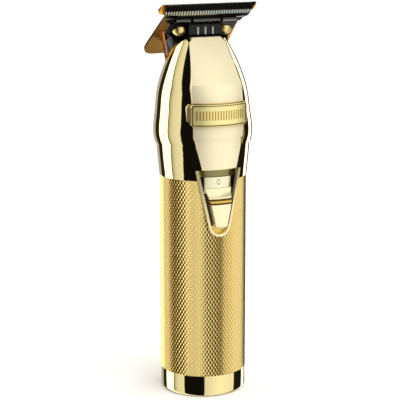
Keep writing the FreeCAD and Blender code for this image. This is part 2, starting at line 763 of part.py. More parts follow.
def make_end_cap():
    body = rod(motor_r, 0, motor_y, motor_base, motor_base + 3.0)
    body = body.fuse(rod(motor_r - can_wall - fit_gap, 0, motor_y, motor_base + 3.0, motor_base + 4.5))
    body = body.cut(rod(bush_r, 0, motor_y, motor_base - 1, motor_base + 9))
    hollow = rod(motor_r - can_wall - 2.0, 0, motor_y, motor_base + 1.5, motor_base + 9)
    return body.cut(hollow).removeSplitter()


def make_magnets():
    outer = motor_r - can_wall - 0.01
    ring = tube(outer, outer - magnet_t, 0, motor_y, motor_base + 8.0, motor_top - 4.0)
    gap_box = box(-4.5, 4.5, -30, 30, motor_base, motor_top)
    arcs = ring.cut(gap_box)
    return Part.makeCompound(arcs.Solids)


def make_brushes():
    solids = []
    for side in (-1, 1):
        x0, x1 = sorted((side * (commutator_r + 0.1), side * (motor_r - can_wall - 2.4)))
        solids.append(box(x0, x1, motor_y - 0.7, motor_y + 0.7, motor_base + 4.8, motor_base + 6.2))
    return Part.makeCompound(solids)


def make_commutator():
    return tube(commutator_r, shaft_r, 0, motor_y, motor_base + 4.0, motor_base + 7.4)


def make_rotor():
    r = motor_r - can_wall - magnet_t - air_gap
    body = tube(r, shaft_r, 0, motor_y, motor_base + 8.4, motor_top - 4.4)
    slots = []
    for turn in (0, 120, 240):
        slot = box(-0.9, 0.9, motor_y + 3.0, motor_y + r + 1, motor_base + 8, motor_top)
        slots.append(slot.rotated(V(0, motor_y, 0), V(0, 0, 1), turn))
    return cut(body, slots)


def cam_base():
    return pin_top() - drive_h - 0.5 - cam_h


def make_shaft():
    return rod(shaft_r, 0, motor_y, motor_base + 0.4, cam_base() + cam_h - cam_cap_t)


def make_cam():
    body = tube(cam_r, shaft_r, 0, motor_y, cam_base(), cam_base() + cam_h - cam_cap_t)
    cap = rod(cam_r, 0, motor_y, cam_base() + cam_h - cam_cap_t, cam_base() + cam_h)
    body = body.fuse(cap)
    weight = box(-cam_r, cam_r, motor_y - cam_r, motor_y - 1.4, cam_base() + 1.2, cam_base() + cam_h - 1.6)
    return body.cut(weight).cut(rod(pin_r, 0, motor_y + stroke, cam_base() + cam_h - cam_cap_t,
                                    cam_base() + cam_h + 1)).removeSplitter()


def make_pin():
    return rod(pin_r, 0, motor_y + stroke, cam_base() + cam_h - cam_cap_t, pin_top())


def make_sleeve():
    return tube(sleeve_r, pin_r, 0, motor_y + stroke, cam_base() + cam_h + 0.1, pin_top() - 0.2)


def post_spots():
    return [(side * (mount_r - post_r - 0.3), motor_y + 2.0) for side in (-1, 1)]


def make_motor_mount():
    parts = [rod(mount_r, 0, motor_y, motor_top, motor_top + mount_t)]
    parts += [rod(post_r, x, y, motor_top + mount_t - 0.01, neck_foot()) for x, y in post_spots()]
    holes = [rod(bush_r + 1.0 + fit_gap, 0, motor_y, motor_top - 1, neck_foot())]
    holes += [rod(0.9 + fit_gap, x, y, motor_top - 1, neck_foot() + 1) for x, y in post_spots()]
    return cut(fuse(parts), holes)


def make_motor_screws():
    solids = [rod(0.85, x, y, motor_top + 0.1, neck_foot() + 4.0) for x, y in post_spots()]
    return Part.makeCompound(solids)


# ------------------------------------------------------------------ chassis and electrics
def make_chassis(front):
    r = barrel_in - chassis_gap
    z0 = socket_len + socket_back + 3.5
    rear_r = r - chassis_step
    if front:
        body = tube(r, r - chassis_wall, 0, 0, z0, bezel_low - 2.0)
        keep = box(-30, 30, -30, chassis_split - 0.1, 0, tip_z)
        return body.common(keep)
    body = tube(rear_r, rear_r - chassis_wall, 0, 0, z0, motor_base - 2.0)
    body = body.common(box(-30, 30, chassis_split + 0.1, 30, 0, tip_z))
    shelves = []
    for z in (cell_z - 3.0, cell_z + cell_len + 1.6):
        disc = rod(rear_r - 0.5, 0, 0, z, z + shelf_t).common(box(-30, 30, chassis_split + 0.1, 30, 0, tip_z))
        shelves.append(disc.cut(box(-3.0, 3.0, chassis_split, 30, z - 1, z + 3)))
    return fuse([body] + shelves)


def make_cell():
    body = rod(cell_r, 0, cell_y, cell_z, cell_z + cell_len - 0.8)
    nub = rod(3.0, 0, cell_y, cell_z + cell_len - 0.81, cell_z + cell_len)
    return fuse([body, nub])


def make_tabs():
    low = box(-2.5, 2.5, cell_y - cell_r - 1.0, cell_y + 4.0, cell_z - 0.3, cell_z)
    high = box(-2.5, 2.5, cell_y - cell_r - 1.0, cell_y + 4.0, cell_z + cell_len, cell_z + cell_len + 0.3)
    return Part.makeCompound([low, high])


def make_board():
    z1 = board_z0 + board_len
    body = box(-board_half, board_half, -board_y, -board_y + board_t, board_z0, z1)
    holes = [rod_y(1.1, 0.0, z, -board_y - 1, -board_y + board_t + 1) for z in board_screw_rows()]
    return cut(body, holes)


def board_screw_rows():
    return (board_z0 + 4.0, bezel_low - 6.0)


def rod_y(r, x, z, y0, y1):
    return Part.makeCylinder(r, y1 - y0, V(x, y0, z), V(0, 1, 0))


def make_chips():
    y = -board_y + board_t
    solids = [box(left, right, y, y + tall, board_z0 + low, board_z0 + high)
              for left, right, tall, low, high in chip_rows]
    return Part.makeCompound(solids)


def make_board_screws():
    solids = []
    for z in board_screw_rows():
        head = rod_y(1.9, 0.0, z, -board_y + board_t, -board_y + board_t + 1.0)
        shank = rod_y(1.0, 0.0, z, -board_y - 1.4, -board_y + board_t + 0.01)
        solids.append(fuse([head, shank]))
    return Part.makeCompound(solids)


def wire_run(points, r):
    """A thin lead along straight runs joined by tangent arcs."""
    edges = []
    start = points[0]
    for i in range(1, len(points) - 1):
        corner = points[i]
        back = (points[i - 1] - corner)
        ahead = (points[i + 1] - corner)
        reach = 0.45 * min(back.Length, ahead.Length)
        back.normalize()
        ahead.normalize()
        p0 = corner + back * reach
        p1 = corner + ahead * reach
        turn = math.pi - back.getAngle(ahead)
        radius = reach / math.tan(turn / 2)
        bisector = back + ahead
        bisector.normalize()
        middle = corner + bisector * (radius / math.cos(turn / 2) - radius)
        edges.append(Part.makeLine(start, p0))
        edges.append(Part.Arc(p0, middle, p1).toShape())
        start = p1
    edges.append(Part.makeLine(start, points[-1]))
    path = Part.Wire(edges)
    direction = points[1] - points[0]
    ring = Part.Wire(Part.makeCircle(r, points[0], direction))
    return path.makePipeShell([ring], True, True)


def make_motor_leads():
    z = motor_base
    solids = []
    for side in (-1, 1):
        x = side * 5.5
        points = [V(x, motor_y, z), V(x, motor_y, z - 6.0), V(x, motor_y - 7.0, z - 11.0),
                  V(x, -board_y + board_t + 0.8, z - 17.0), V(x, -board_y + board_t + 0.8, z - 22.0)]
        solids.append(wire_run(points, 0.6))
    return Part.makeCompound(solids)


def make_battery_leads():
    y_board = -board_y + board_t
    solids = []
    for z, side in ((cell_z - 0.15, -1), (cell_z + cell_len + 0.15, 1)):
        y_tab = cell_y - cell_r - 1.0
        solids.append(rod_y(0.5, side * 1.6, z, y_board, y_tab))
    return Part.makeCompound(solids)


def make_led():
    return rod(0.9, led_x, 0, cap_t + 1.8, cap_t + 4.0)


def make_led_lens():
    return rod(led_r - fit_gap, led_x, 0, 0.0, cap_t + 1.2)


def make_base_seal():
    r = barrel_in - fit_gap
    return tube(r, r - 1.0, 0, 0, base_h + spigot_len + 0.02, base_h + spigot_len + 1.2)


def main():
    save("base_ring", make_base_ring())
    save("base_cap", make_base_cap())
    save("base_screws", make_base_screws())
    save("charging_socket", make_charging_socket())
    save("socket_contacts", make_socket_contacts())
    save("led_lens", make_led_lens())
    save("charge_led", make_led())
    save("base_seal", make_base_seal())
    save("knurled_barrel", make_barrel())
    save("upper_housing", make_housing())
    save("spine_panel", make_spine())
    save("badge_backing", make_badge_backing())
    save("badge_plate", make_badge_plate())
    save("switch_bezel", make_bezel())
    save("switch_floor", make_switch_floor())
    save("switch_slider", make_slider())
    save("switch_lever", make_lever())
    save("slide_switch", make_slide_switch())
    save("chassis_front", make_chassis(True))
    save("chassis_rear", make_chassis(False))
    save("battery_cell", make_cell())
    save("battery_tabs", make_tabs())
    save("battery_leads", make_battery_leads())
    save("circuit_board", make_board())
    save("board_chips", make_chips())
    save("board_screws", make_board_screws())
    save("motor_leads", make_motor_leads())
    save("motor_can", make_motor_can())
    save("motor_end_cap", make_end_cap())
    save("motor_front_bearing", make_bush(motor_top - can_wall - 1.5, motor_top + 1.6))
    save("motor_rear_bearing", make_bush(motor_base, motor_base + 3.0))
    save("motor_magnets", make_magnets())
    save("motor_brushes", make_brushes())
    save("commutator", make_commutator())
    save("rotor_core", make_rotor())
    save("motor_shaft", make_shaft())
    save("eccentric_cam", make_cam())
    save("drive_pin", make_pin())
    save("pin_sleeve", make_sleeve())
    save("motor_mount", make_motor_mount())
    save("motor_screws", make_motor_screws())
    save("neck_seal", make_neck_seal())
    save("neck_bracket", make_neck())
    save("blade_carrier", make_carrier())
    save("guide_pads", make_pads())
    save("screw_plate", make_screw_plate())
    save("tension_spring", make_spring())
    save("cutter_yoke", make_yoke())
    save("cutter_blade", make_cutter())
    save("fixed_blade", make_fixed_blade())
    save("blade_screws", make_blade_screws())


main()
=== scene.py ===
"""Visible shell, finishes and studio of a gold T-blade hair clipper, built on its CAD frame."""

import json
import math

import bpy
from bpy.props import FloatProperty, FloatVectorProperty, IntProperty, PointerProperty
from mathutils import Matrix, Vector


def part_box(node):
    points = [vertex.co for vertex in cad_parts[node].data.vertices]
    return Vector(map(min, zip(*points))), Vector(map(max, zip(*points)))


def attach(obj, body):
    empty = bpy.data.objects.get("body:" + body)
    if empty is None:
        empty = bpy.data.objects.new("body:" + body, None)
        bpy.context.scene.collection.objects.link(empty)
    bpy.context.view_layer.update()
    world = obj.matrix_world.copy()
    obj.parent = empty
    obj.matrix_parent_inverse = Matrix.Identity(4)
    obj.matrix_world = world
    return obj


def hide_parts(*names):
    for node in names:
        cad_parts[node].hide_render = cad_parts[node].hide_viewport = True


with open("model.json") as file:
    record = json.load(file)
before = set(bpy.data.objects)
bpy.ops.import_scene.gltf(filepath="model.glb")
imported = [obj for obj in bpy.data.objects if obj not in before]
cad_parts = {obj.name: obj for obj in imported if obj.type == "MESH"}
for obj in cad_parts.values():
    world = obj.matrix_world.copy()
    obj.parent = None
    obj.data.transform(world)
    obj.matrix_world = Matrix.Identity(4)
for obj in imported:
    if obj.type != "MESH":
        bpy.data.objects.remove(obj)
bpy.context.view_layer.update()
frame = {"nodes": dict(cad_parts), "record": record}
NODES = frame["nodes"]
BODY_OF = {n: body for body, members in frame["record"]["behaviour"]["bodies"].items() for n in members}
SLOT_OF = {part["node"]: part["material_slot"] for part in frame["record"]["subparts"]}

bl_info = {
    "name": "Gold Hair Clipper",
    "version": (1, 0, 0),
    "blender": (4, 5, 0),
    "location": "View3D > Sidebar > Hair Clipper",
    "description": "Builds the shell, finishes and studio of a cordless T-blade hair clipper",
    "category": "Add Mesh",
}

MM = 0.001
MERGE = 0.002 * MM               # vertices closer than this are one
BLADE_LEAN = math.radians(53.0)  # angle of the blade from upright
TIP_Y = -8.27 * MM               # tooth tips of the fixed blade
TIP_Z = 164.5 * MM


def linear(text):
    """A linear RGBA colour from an sRGB hex string."""
    channels = [int(text[i:i + 2], 16) / 255 for i in (0, 2, 4)]
    return tuple(c / 12.92 if c <= 0.04045 else ((c + 0.055) / 1.055) ** 2.4 for c in channels) + (1.0,)


# ------------------------------------------------------------------ sizes and colours a user would change
def length(name, description, size):
    return FloatProperty(name=name, description=description, default=size * MM, unit="LENGTH", precision=5)


def colour(name, description, text):
    return FloatVectorProperty(name=name, description=description, subtype="COLOR", size=4, default=linear(text))


class ClipperSizes(bpy.types.PropertyGroup):
    knurl_columns: IntProperty(name="Knurl columns", description="Diamonds round the grip", default=78)
    knurl_rows: IntProperty(name="Knurl rows", description="Diamonds along the grip", default=35)
    knurl_depth: length("Knurl depth", "Depth of the knurl's grooves", 0.34)
    knurl_flat: length("Knurl flat", "Flat left on the tip of each diamond", 0.16)
    vee_top_half: length("Switch half width", "Half width of the switch bezel at its top", 10.0)
    vee_round: length("Switch foot radius", "Radius of the foot of the switch bezel", 4.9)
    ring_edge: length("Foot edge", "Radius of the foot ring's lower edge", 1.3)
    ring_height: length("Foot height", "Height of the foot ring's polished band", 9.2)
    reed_half: length("Reed half pitch", "Half the pitch of the badge's reeding", 0.6)


class ClipperColours(bpy.types.PropertyGroup):
    polished: colour("Polished gold", "Mirror gold plating", "F4E2A4")
    knurled: colour("Knurled gold", "Gold plating on the knurl", "F1D588")
    satin: colour("Satin gold", "Bead-blasted champagne gold", "FFF3CC")
    badge: colour("Badge gold", "Face of the badge", "F9EAA2")
    badge_edge: colour("Badge backing", "Backing round the badge", "F3DC96")
    slider: colour("Slider gold", "Gold plating on the thumb slider", "FAEEC2")
    bezel: colour("Bezel gold", "Rim round the switch", "F9EAB6")
    screws: colour("Screw gold", "Heads of the blade screws", "F3DA92")
    blade: colour("Blade gold", "Titanium nitride on ground steel", "D39A45")
    # the neck's darker copper gold is painted shade under the blade
    neck: colour("Neck gold", "Neck under the blade", "A87440")
    floor: colour("Floor", "Studio floor", "F7F6F3")


def colours():
    return bpy.context.scene.clipper_colours


# ------------------------------------------------------------------ modelling helpers
def lone(obj):
    """Leave only this object selected and active."""
    bpy.ops.object.select_all(action="DESELECT")
    obj.select_set(True)
    bpy.context.view_layer.objects.active = obj


def place(obj, name, slot, body, *nodes):
    """Put the place into the mesh, then name, finish and seat the piece."""
    lone(obj)
    bpy.ops.object.transform_apply(location=True, rotation=True, scale=True)
    obj.name = name
    obj.data.name = name
    obj.data.materials.clear()
    obj.data.materials.append(finish(LOOKS.get(nodes[0], slot)))
    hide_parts(*nodes)
    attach(obj, body)


def choose(obj, wanted):
    """In object mode, select just the vertices whose place passes the test."""
    for face in obj.data.polygons:
        face.select = False
    for edge in obj.data.edges:
        edge.select = False
    for vertex in obj.data.vertices:
        vertex.select = bool(wanted(vertex.co))


def edit(obj, mode="VERT"):
    """Open the piece in edit mode, selecting by vertices, edges or faces."""
    lone(obj)
    bpy.context.tool_settings.mesh_select_mode = [mode == kind for kind in ("VERT", "EDGE", "FACE")]
    bpy.ops.object.mode_set(mode="EDIT")


def leave():
    """Go back to object mode."""
    bpy.ops.object.mode_set(mode="OBJECT")


def take_away(obj, tool):
    """Cut the closed tool out of the closed piece and remove the tool."""
    lone(obj)
    cut = obj.modifiers.new("Cut", "BOOLEAN")
    cut.operation = "DIFFERENCE"
    cut.object = tool
    cut.solver = "MANIFOLD"
    bpy.ops.object.modifier_apply(modifier=cut.name)
    bpy.data.objects.remove(tool)


def merged(node, angle):
    """A copy of a CAD node with its loose triangles merged and its rounded faces shaded smooth."""
    obj = bpy.data.objects.new(node + "_copy", NODES[node].data.copy())
    bpy.context.scene.collection.objects.link(obj)
    edit(obj)
    bpy.ops.mesh.select_all(action="SELECT")
    bpy.ops.mesh.customdata_custom_splitnormals_clear()
    bpy.ops.mesh.remove_doubles(threshold=MERGE)
    leave()
    bpy.ops.object.shade_smooth_by_angle(angle=math.radians(angle))
    return obj


def finish_copies(names, angle=30.0):
    """Make the finished piece of each CAD node, from {node: name of the piece}."""
    for node, name in names.items():
        place(merged(node, angle), name, SLOT_OF[node], BODY_OF[node], node)


def turned(outline, steps=160):
    """A closed ring spun about the upright axis from (radius, height) points in metres."""
    bpy.ops.object.select_all(action="DESELECT")
    bpy.ops.mesh.primitive_circle_add(vertices=len(outline), radius=1.0, fill_type="NOTHING")
    obj = bpy.context.active_object
    for vertex, (r, z) in zip(obj.data.vertices, outline):
        vertex.co = (r, 0.0, z)
    edit(obj)
    bpy.ops.mesh.select_all(action="SELECT")
    bpy.ops.mesh.spin(steps=steps, angle=2 * math.pi, center=(0, 0, 0), axis=(0, 0, 1))
    bpy.ops.mesh.select_all(action="SELECT")
    bpy.ops.mesh.remove_doubles(threshold=MERGE)
    bpy.ops.mesh.normals_make_consistent(inside=False)
    leave()
    return obj


# ------------------------------------------------------------------ finishes
def add(tree, kind, inputs=(), **settings):
    """Add a node with its settings; each input is a link or a value, paired with the input it goes to."""
    node = tree.nodes.new(kind)
    for key, value in settings.items():
        setattr(node, key, value)
    for source, target in inputs:
        if isinstance(source, bpy.types.NodeSocket):
            tree.links.new(source, node.inputs[target])
        else:
            node.inputs[target].default_value = source
    return node


def shader_of(material):
    return next(n for n in material.node_tree.nodes if n.type == "BSDF_PRINCIPLED")


def coords_of(tree):
    return next(n for n in tree.nodes if n.type == "TEX_COORD").outputs["Object"]


def axes_of(material):
    """The material's tree, and the x, y and z of the piece."""
    tree = material.node_tree
    return (tree, *add(tree, "ShaderNodeSeparateXYZ", [(coords_of(tree), 0)]).outputs)


def coated(name, tone, metallic, rough, grain, relief=0, spread=0.08, stretch=(1, 1, 1)):
    """A surface whose tone, gloss and relief wander a little with a grain of a given size in metres."""
    material = bpy.data.materials.new(name)
    material.use_nodes = True
    tree = material.node_tree
    tree.nodes.clear()
    coords = add(tree, "ShaderNodeTexCoord").outputs["Object"]
    spot = add(tree, "ShaderNodeMapping", [(coords, 0), (stretch, "Scale")]).outputs[0]
    noise = add(tree, "ShaderNodeTexNoise", [(spot, 0), (1 / grain, "Scale"), (3.0, "Detail"),
                                             (0.55, "Roughness")]).outputs[0]
    wander = add(tree, "ShaderNodeMapRange", [(noise, 0), (0.25, "From Min"), (0.75, "From Max")]).outputs[0]
    darker = tuple(c * (1 - spread) for c in tone[:3]) + (1.0,)
    base = add(tree, "ShaderNodeMix", [(wander, 0), (darker, 6), (tuple(tone), 7)], data_type="RGBA").outputs[2]
    gloss = add(tree, "ShaderNodeMapRange", [(noise, 0), (rough * 0.85, "To Min"),
                                             (min(1.0, rough * 1.15), "To Max")]).outputs[0]
    shader = add(tree, "ShaderNodeBsdfPrincipled", [(base, "Base Color"), (gloss, "Roughness"),
                                                    (metallic, "Metallic")])
    if relief:
        bump = add(tree, "ShaderNodeBump", [(noise, "Height"), (0.3, "Strength"), (relief, "Distance")])
        tree.links.new(bump.outputs[0], shader.inputs["Normal"])
    add(tree, "ShaderNodeOutputMaterial", [(shader.outputs[0], 0)])
    return material


def band(material, mask, tone):
    """Lay one more colour over a finish where the mask is 1."""
    tree = material.node_tree
    base = shader_of(material).inputs["Base Color"]
    mix = add(tree, "ShaderNodeMix", [(mask, 0), (base.links[0].from_socket, 6), (tone, 7)], data_type="RGBA")
    tree.links.new(mix.outputs[2], base)


def all_of(tree, mask, *others):
    """1 only where every mask is 1."""
    for other in others:
        mask = add(tree, "ShaderNodeMath", [(mask, 0), (other, 1)], operation="MULTIPLY").outputs[0]
    return mask


def within(tree, value, low, high, soft=0.02 * MM):
    """1 where the value lies between low and high, else 0, over a soft edge."""
    rise = add(tree, "ShaderNodeMapRange", [(value, 0), (low - soft, "From Min"), (low + soft, "From Max")])
    fall = add(tree, "ShaderNodeMapRange", [(value, 0), (high + soft, "From Min"), (high - soft, "From Max")])
    return all_of(tree, rise.outputs[0], fall.outputs[0])


def beyond(tree, value, half):
    """How far a value lies past a half width on either side, negative inside it."""
    size = add(tree, "ShaderNodeMath", [(value, 0)], operation="ABSOLUTE").outputs[0]
    return add(tree, "ShaderNodeMath", [(size, 0), (half, 1)], operation="SUBTRACT").outputs[0]


def back_along_blade(tree):
    """Distance behind the tooth tips, along the leaning blade."""
    run = (0.0, math.sin(BLADE_LEAN), -math.cos(BLADE_LEAN))
    along = add(tree, "ShaderNodeVectorMath", [(coords_of(tree), 0), (run, 1)], operation="DOT_PRODUCT")
    tip = TIP_Y * run[1] + TIP_Z * run[2]
    return add(tree, "ShaderNodeMath", [(along.outputs["Value"], 0), (tip, 1)], operation="SUBTRACT").outputs[0]


def make_polished():
    # brass, buffed and gold plated: near mirror, faint waviness softens the longest reflections
    return coated("Gold plated brass, mirror polished", colours().polished, 1.0, 0.045, 9 * MM, spread=0.03)


def make_knurled():
    # the same plating over rolled diamond knurling: amber flanks
    return coated("Gold plated brass, diamond knurled", colours().knurled, 1.0, 0.22, 0.8 * MM, spread=0.1)


def make_satin():
    # bead-blasted zinc casting with champagne plating: soft, almost even glow with no sharp reflection;
    # real beads leave marks of about 0.1 mm, drawn at 0.25 mm so that they show
    return coated("Champagne plated zinc, bead blasted", colours().satin, 0.6, 0.5, 0.25 * MM, 0.004 * MM, 0.05)


def make_badge():
    # struck and gold plated plate: painted shade as a dark line inside the raised rim and round the outer edge,
    # and on the plain reeding, painted a little darker on every other half pitch
    material = coated("Gold plated nameplate, struck", colours().badge, 0.6, 0.34, 2 * MM, spread=0.05)
    tree, x, y, z = axes_of(material)
    low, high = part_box("badge_plate")
    middle = (low.z + high.z) / 2
    up = add(tree, "ShaderNodeMath", [(z, 0), (middle, 1)], operation="SUBTRACT").outputs[0]
    corner = 1.2 * MM
    past_side = beyond(tree, x, high.x)
    past_top = beyond(tree, up, high.z - middle)
    rim = add(tree, "ShaderNodeMath", [(past_side, 0), (past_top, 1), (corner, 2)],
              operation="SMOOTH_MAX").outputs[0]
    # painted shade: a dark line in the groove inside the raised rim
    band(material, within(tree, rim, -0.85 * MM, -0.45 * MM, 0.06 * MM), linear("6E5620"))
    # painted shade: a dark band round the badge's outer edge
    band(material, within(tree, rim, -0.1 * MM, 2 * MM, 0.05 * MM), linear("5E4819"))
    half_pitch = bpy.context.scene.clipper_sizes.reed_half
    wave = add(tree, "ShaderNodeMath", [(x, 0), (half_pitch, 1)], operation="PINGPONG").outputs[0]
    reeds = all_of(tree, within(tree, wave, half_pitch / 2, 2 * half_pitch, 0.08 * MM),
                   within(tree, x, -10.6 * MM, 10.6 * MM), within(tree, up, -1.9 * MM, 1.9 * MM))
    # painted shade: every other half pitch of the reeding darker
    band(material, reeds, linear("B3913F"))
    return material


def make_backing():
    # soft polish on the edge behind the badge: a bright rim without a sharp mirror picture
    return coated("Gold plated zinc, satin polished", colours().badge_edge, 0.85, 0.3, 3 * MM, spread=0.05)


def make_slider():
    # moulded and gold plated slider: cream highlights, with painted shade making it deeper gold over the ridge
    # and dark in the grooves beside it
    material = coated("Gold plated ABS, moulded", colours().slider, 0.6, 0.26, 3 * MM, spread=0.04)
    tree, x, y, z = axes_of(material)
    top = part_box("switch_slider")[1].z
    # painted shade: deeper gold over the ridge
    band(material, within(tree, z, top - 6.4 * MM, top - 4.1 * MM), linear("DDB655"))
    # painted shade: dark in the grooves beside the ridge
    for groove_low, groove_high in ((4.8, 4.35), (6.3, 5.75)):
        groove = within(tree, z, top - groove_low * MM, top - groove_high * MM, 0.05 * MM)
        band(material, groove, linear("3A2C10"))
    return material


def make_bezel():
    # pale white-gold plating, softly polished: the rim stays bright from most sides
    return coated("White gold plated zinc, polished", colours().bezel, 0.6, 0.28, 3 * MM, spread=0.04)


def make_switch_well():
    # plated floor of the switch: dark bronze well, an olive strip above painted as shade under the spine's lower
    # edge, cream panel with a small grey ring, bright gold at the foot; heights are above the foot of the clipper
    material = coated("Bronze plated ABS, moulded", linear("3B2A16"), 1.0, 0.25, 2 * MM, spread=0.15)
    tree, x, y, z = axes_of(material)
    # painted shade: the olive strip under the spine's lower edge
    band(material, within(tree, z, 94.65 * MM, 99 * MM), linear("8D8558"))
    panel = all_of(tree, within(tree, z, 88 * MM, 94.6 * MM), within(tree, x, -5.93 * MM, 5.93 * MM))
    band(material, panel, linear("F5EFC9"))
    band(material, within(tree, z, 60 * MM, 74.2 * MM), linear("E2C065"))
    centre, reach = (0, 0, 92.6 * MM), (1 / 0.72, 0, 1 / 1.1)
    away = add(tree, "ShaderNodeVectorMath", [(coords_of(tree), 0), (centre, 1)], operation="SUBTRACT").outputs[0]
    oval = add(tree, "ShaderNodeVectorMath", [(away, 0), (reach, 1)], operation="MULTIPLY").outputs[0]
    ring = add(tree, "ShaderNodeVectorMath", [(oval, 0)], operation="LENGTH").outputs["Value"]
    band(material, within(tree, ring, 0.8 * MM, 1.12 * MM, 0.08 * MM), linear("77786C"))
    return material


def make_screws():
    # gold plated screw heads, tumbled: soft bright dome
    return coated("Gold plated steel, tumbled", colours().screws, 0.9, 0.28, 1 * MM, spread=0.08)


def make_blade():
    # ground steel with a titanium nitride coat: amber with fine grinding lines along the blade, teeth left dark;
    # real grinding lines are about 0.05 mm apart, drawn ten times coarser so that they show
    material = coated("Titanium nitride on ground steel", colours().blade, 1.0, 0.2, 0.5 * MM, 0.002 * MM,
                      0.12, (0.12, 1, 1))
    tree, x, y, z = axes_of(material)
    teeth = all_of(tree, within(tree, back_along_blade(tree), -2 * MM, 4.4 * MM),
                   within(tree, x, -19 * MM, 20.6 * MM))
    band(material, teeth, linear("2B2520"))
    return material


def make_black_steel():
    # ground steel with a diamond-like carbon coat: near black, crisp glints; painted highlights make the tooth
    # bevels paler at the roots and draw a pale line along one ground step; grinding lines are drawn coarser than
    # real, as on the fixed blade
    material = coated("Carbon coated ground steel", linear("1C1A19"), 1.0, 0.2, 0.4 * MM, 0.002 * MM, 0.2,
                      (0.15, 1, 1))
    tree, x, y, z = axes_of(material)
    back = back_along_blade(tree)
    half_pitch = 0.585 * MM
    wave = add(tree, "ShaderNodeMath", [(x, 0), (half_pitch, 1)], operation="PINGPONG").outputs[0]
    # painted highlight: pale stripes on the tooth bevels
    tooth = all_of(tree, within(tree, back, 2.7 * MM, 4.7 * MM, 0.2 * MM),
                   within(tree, wave, -1 * MM, 0.36 * MM, 0.05 * MM))
    band(material, tooth, linear("B9BDB4"))
    # painted highlight: a pale glint line along one ground step
    band(material, within(tree, back, 6.85 * MM, 7.3 * MM, 0.06 * MM), linear("A8A8A2"))
    return material


def make_black_plastic():
    # glass-filled nylon, moulded and polished: deep black with a clear soft gloss, tops of the ribs painted pale
    # as a highlight
    material = coated("Glass-filled nylon, moulded", linear("0B0A0C"), 0.0, 0.16, 1.2 * MM, 0.004 * MM, 0.3)
    tree, x, y, z = axes_of(material)
    # painted highlight: the tops of the ribs pale grey
    ribs = all_of(tree, within(tree, y, -3.2 * MM, -2.6 * MM), within(tree, x, -4 * MM, 4 * MM),
                  within(tree, z, 140 * MM, 170 * MM))
    band(material, ribs, linear("8F918C"))
    shader_of(material).inputs["Specular IOR Level"].default_value = 0.25
    return material


def make_neck():
    # the same plating, painted darker copper gold as shade under the blade; softer than the housing
    return coated("Gold plated zinc, cast", colours().neck, 1.0, 0.26, 2 * MM, spread=0.15)


def make_white_plastic():
    # natural nylon from a smooth mould: milky, with a broad soft sheen
    return coated("Natural nylon, moulded", linear("E9E6DC"), 0.0, 0.4, 1.5 * MM, 0.004 * MM, 0.06)


def make_steel():
    # bright steel off the lathe: grey, with fine rings round the upright axis
    return coated("Steel, turned", linear("B9BCC0"), 1.0, 0.24, 0.4 * MM, 0.002 * MM, 0.1, (1, 1, 6))


def make_brass():
    # brass off the lathe: yellow, with fine rings round the upright axis
    return coated("Brass, turned", linear("D8B56A"), 1.0, 0.24, 0.5 * MM, 0.002 * MM, 0.1, (1, 1, 5))


def make_magnet():
    # pressed and sintered ferrite: dark grey and dull, with a slight grit
    return coated("Ferrite, sintered", linear("3A3B3F"), 0.2, 0.55, 0.4 * MM, 0.01 * MM, 0.2)


def make_board():
    # glass laminate under solder mask: even green with paler copper lanes
    material = coated("Glass laminate, solder masked", linear("1E6B3A"), 0.0, 0.32, 2 * MM, spread=0.15)
    tree, x, y, z = axes_of(material)
    half_pitch = 0.9 * MM
    lane = add(tree, "ShaderNodeMath", [(x, 0), (half_pitch, 1)], operation="PINGPONG").outputs[0]
    band(material, within(tree, lane, 0.55 * MM, 0.8 * MM, 0.03 * MM), linear("2C8A4E"))
    return material


def make_chip():
    # moulded epoxy: charcoal, matt and faintly grainy
    return coated("Epoxy chip package, moulded", linear("1B1B1D"), 0.0, 0.45, 0.3 * MM, 0.006 * MM, 0.2)


def make_cell():
    # heat-shrunk wrap on a lithium cell: even blue with one pale band near the top
    material = coated("Shrink-wrapped lithium cell", linear("2D5AA0"), 0.0, 0.3, 4 * MM, 0.01 * MM, 0.1)
    tree, x, y, z = axes_of(material)
    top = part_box("battery_cell")[1].z
    band(material, within(tree, z, top - 9 * MM, top - 6 * MM), linear("D9DDE2"))
    return material


def make_lead():
    # silicone drawn over stranded wire: brick red with a soft sheen
    return coated("Silicone insulated lead, extruded", linear("A3211C"), 0.0, 0.45, 1 * MM, 0.004 * MM, 0.12)


def make_seal():
    # moulded silicone rubber: charcoal, matt, slightly pebbled
    return coated("Silicone rubber, moulded", linear("2A2B2D"), 0.0, 0.6, 0.6 * MM, 0.008 * MM, 0.15)


def make_lens():
    # clear polycarbonate light pipe: faint milky depth
    material = coated("Polycarbonate, moulded clear", linear("DCE6EA"), 0.0, 0.12, 1 * MM, spread=0.05)
    shader_of(material).inputs["Transmission Weight"].default_value = 0.7
    shader_of(material).inputs["IOR"].default_value = 1.58
    return material


MAKERS = {
    "polished_gold": make_polished, "knurled_gold": make_knurled, "satin_gold": make_satin,
    "badge_gold": make_badge, "switch_gold": make_slider, "blade_gold": make_blade,
    "black_steel": make_black_steel, "black_plastic": make_black_plastic, "white_plastic": make_white_plastic,
    "steel": make_steel, "brass": make_brass, "magnet": make_magnet, "board_green": make_board,
    "chip_black": make_chip, "cell_wrap": make_cell, "lead_wire": make_lead, "seal_rubber": make_seal,
    "clear_lens": make_lens, "neck": make_neck, "well": make_switch_well, "bezel": make_bezel,
    "screws": make_screws, "backing": make_backing,
}
# CAD nodes whose finish differs from their material slot's usual one
LOOKS = {"switch_floor": "well", "neck_bracket": "neck", "switch_bezel": "bezel", "blade_screws": "screws",
         "badge_backing": "backing"}
made = {}


def finish(kind):
    """The material of a slot or look, made the first time it is asked for."""
    if kind not in made:
        made[kind] = MAKERS[kind]()
    return made[kind]


